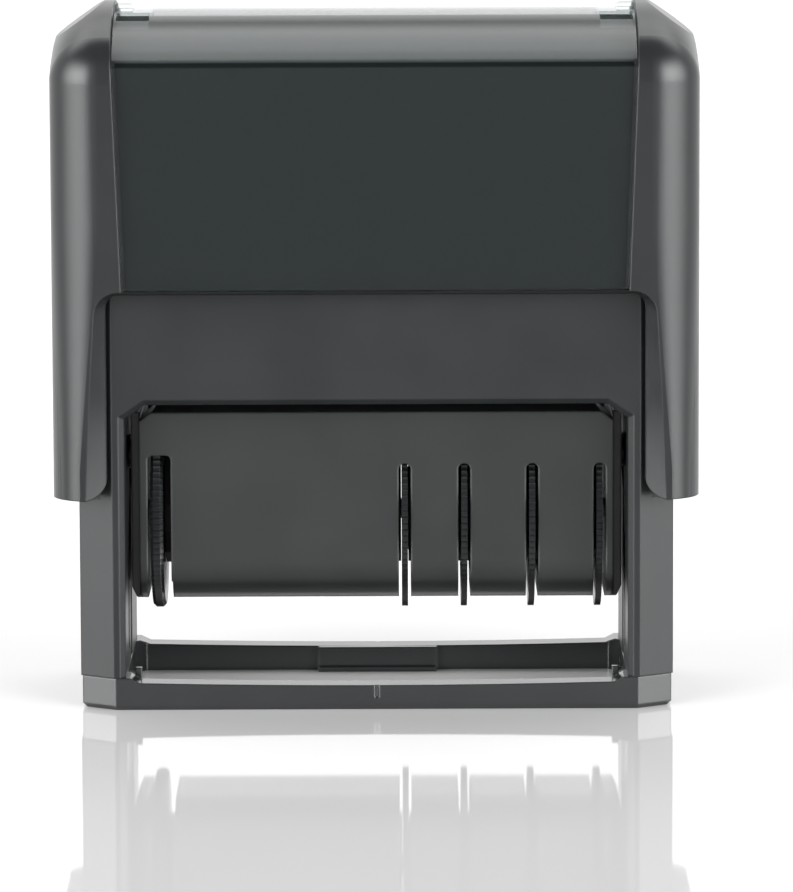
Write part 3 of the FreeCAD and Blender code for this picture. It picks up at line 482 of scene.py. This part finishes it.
def pad_point(share, middle, half):
    """Point of the pad's skin, for a point of a cube that runs from -1 to 1."""
    near_face = max(0.0, 1 - (1 - abs(share.z)) * pad_rim_share)
    on_rim = max(abs(share.x), abs(share.y)) > pad_rim_from
    pull = pad_rim_pull * near_face ** 2 if on_rim else 0.0
    at = Vector((middle.x + share.x * (half.x - pull), middle.y + share.y * (half.y - pull),
                 middle.z + share.z * half.z))
    if share.z < -pad_rim_from:
        crown = (1 - share.x ** pad_crown_power[0]) * (1 - share.y ** pad_crown_power[1])
        at.z += pad_sag * (1 - crown) + pad_fluff * (1 + fractal.noise(at / pad_fluff_size))
    return at


def make_pad(material):
    """Felt pad: a closed form, crowned a little on its inking side and drawn in at its rim."""
    low, high = (Vector(corner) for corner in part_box("ink_pad"))
    work = bmesh.new()
    bmesh.ops.create_cube(work, size=1.0)
    bmesh.ops.subdivide_edges(work, edges=work.edges, cuts=pad_cuts, use_grid_fill=True)
    for vert in work.verts:
        vert.co = pad_point(vert.co * 2, (low + high) / 2, (high - low) / 2)
    piece = new_piece("felt_pad", work, "cartridge", material, "ink_pad")


def spring_point(share, radius, low, high):
    """Middle of the spring's wire, with closer turns at both ends."""
    angle = full_turn * spring_turns * share
    eased = share - spring_end_ease * math.sin(full_turn * share) / full_turn
    return Vector((radius * math.cos(angle), radius * math.sin(angle), low + (high - low) * eased))


def wire_ring(work, middle, heading):
    """Ring of points round the wire, square to its heading."""
    out = Vector((middle.x, middle.y, 0)).normalized()
    out = (out - heading * out.dot(heading)).normalized()
    across = heading.cross(out)
    ring = []
    for side in range(wire_sides):
        angle = full_turn * side / wire_sides
        rim = (out * math.cos(angle) + across * math.sin(angle)) * wire_radius
        ring.append(work.verts.new(middle + rim))
    return ring


def skin(work, rings):
    """Closed tube over the rings."""
    for ring, following in zip(rings, rings[1:]):
        for side in range(wire_sides):
            after = (side + 1) % wire_sides
            work.faces.new((ring[side], ring[after], following[after], following[side]))
    work.faces.new(reversed(rings[0]))
    work.faces.new(rings[-1])
    bmesh.ops.recalc_face_normals(work, faces=work.faces)


def make_spring(material):
    """Return spring of round wire, built once at the size of the solid it stands for."""
    low, high = (Vector(corner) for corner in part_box("return_spring"))
    radius = high.x - wire_radius
    ends = (low.z + wire_radius, high.z - wire_radius)
    steps = turn_steps * spring_turns
    middles = [spring_point(step / steps, radius, *ends) for step in range(steps + 1)]
    work = bmesh.new()
    rings = []
    for step, middle in enumerate(middles):
        heading = (middles[min(step + 1, steps)] - middles[max(step - 1, 0)]).normalized()
        rings.append(wire_ring(work, middle, heading))
    skin(work, rings)
    piece = new_piece("round_wire_spring", work, "frame", material, "return_spring")
    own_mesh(piece)


def make_pieces():
    """Every piece of the stamp with its finish."""
    satin = moulded_plastic("satin_grey", plastic_colour, roughness=0.30, reshape=tapered_corner)
    button = moulded_plastic("button_grey", plastic_colour, roughness=0.30)
    textured = moulded_plastic("textured_grey", plastic_colour, roughness=0.36, grain_depth=coarse_grain,
                               specular=0.42)
    ring = moulded_plastic("ring_grey", plastic_colour, roughness=0.22, specular=0.85)
    dark = moulded_plastic("box_grey", box_colour, roughness=0.32, rounding=box_round, specular=0.6)
    wheel = moulded_plastic("wheel_black", wheel_colour, roughness=0.26, rounding=wheel_round)
    rubber = moulded_plastic("band_rubber_black", rubber_colour, roughness=0.6, rounding=rubber_round)
    inner = moulded_plastic("inner_grey", inner_colour, roughness=0.45)
    steel = drawn_steel()
    for material, names in ((textured, ["frame", "pad_tray"]),
                            (ring, ["base_ring"]),
                            (satin, ["cap"]),
                            (button, ["lock_button_left", "lock_button_right"]),
                            (clear_plastic(), ["window_cover"]),
                            (printed_card(), ["index_card"]),
                            (inner, ["yoke", "type_bridge"]),
                            (dark, ["wheel_box", "end_plate_left", "end_plate_right"]),
                            (steel, ["wheel_axle"])):
        for name in names:
            paint(name, material)
    for name in ("phrase", "day_tens", "day_units", "month", "year"):
        paint(name + "_wheel", wheel)
        paint(name + "_band", rubber)
    make_pad(inked_felt())
    make_spring(steel)


make_camera()
make_sky()
make_floor()
make_pieces()
bpy.context.scene.view_settings.view_transform = "Standard"
